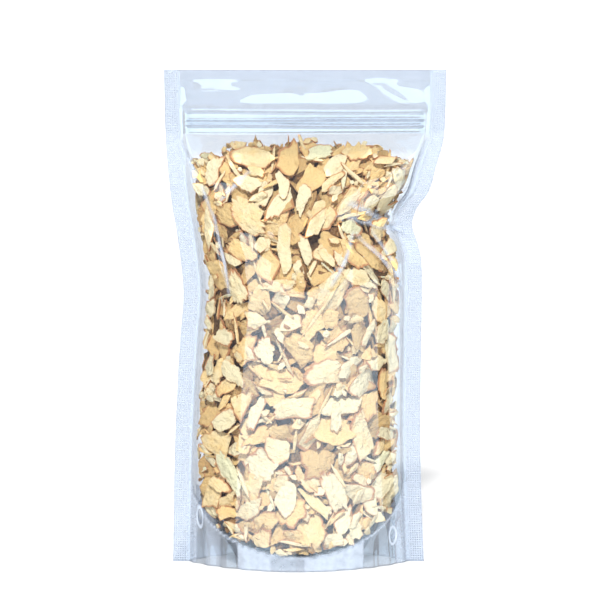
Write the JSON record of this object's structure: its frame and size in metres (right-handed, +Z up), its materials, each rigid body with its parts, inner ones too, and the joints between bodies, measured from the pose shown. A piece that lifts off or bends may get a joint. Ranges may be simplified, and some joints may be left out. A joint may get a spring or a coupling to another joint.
{
  "type": "sealed pouch of dried horseradish root",
  "caption": "Heat-sealed clear stand-up pouch with a bottom gusset and a press-to-close zip, packed with dried slices and splinters of horseradish root.",
  "frame": {"origin": "centre of the base, on the surface that the pouch stands on", "axes": "+Z up to the top seal, the longest side; +Y through the pouch from front to back, the shortest side; +X to the right of someone who faces the front, which is -Y"},
  "size_m": [0.13, 0.0584, 0.23],
  "materials": {
    "film": "clear and glossy, with matt knurled heat seals",
    "zip": "translucent",
    "root": "matt, dry and fibrous"
  },
  "bodies": {
    "root": {"front_film": "film", "back_film": "film", "bottom_gusset": "film", "zip_rib": "zip", "zip_channel": "zip", "root_fill": "root", "front_slice_01": "root", "front_slice_02": "root", "front_slice_03": "root", "front_slice_04": "root", "front_slice_05": "root", "front_slice_06": "root", "front_slice_07": "root", "front_slice_08": "root", "front_slice_09": "root", "front_slice_10": "root", "front_slice_11": "root", "front_slice_12": "root", "front_slice_13": "root", "front_slice_14": "root", "front_slice_15": "root", "front_slice_16": "root", "front_slice_17": "root", "front_slice_18": "root", "front_slice_19": "root", "front_slice_20": "root", "front_slice_21": "root", "front_slice_22": "root", "front_slice_23": "root", "front_slice_24": "root", "front_slice_25": "root", "front_slice_26": "root", "front_slice_27": "root", "front_slice_28": "root", "front_slice_29": "root", "front_slice_30": "root", "front_slice_31": "root", "front_slice_32": "root", "front_slice_33": "root", "front_slice_34": "root", "front_slice_35": "root", "front_slice_36": "root", "front_slice_37": "root", "back_slice_01": "root", "back_slice_02": "root", "back_slice_03": "root", "back_slice_04": "root", "back_slice_05": "root", "back_slice_06": "root", "back_slice_07": "root", "back_slice_08": "root", "back_slice_09": "root", "back_slice_10": "root", "back_slice_11": "root", "back_slice_12": "root", "back_slice_13": "root", "back_slice_14": "root", "back_slice_15": "root", "front_splinter": "root"}
  },
  "joints": []
}
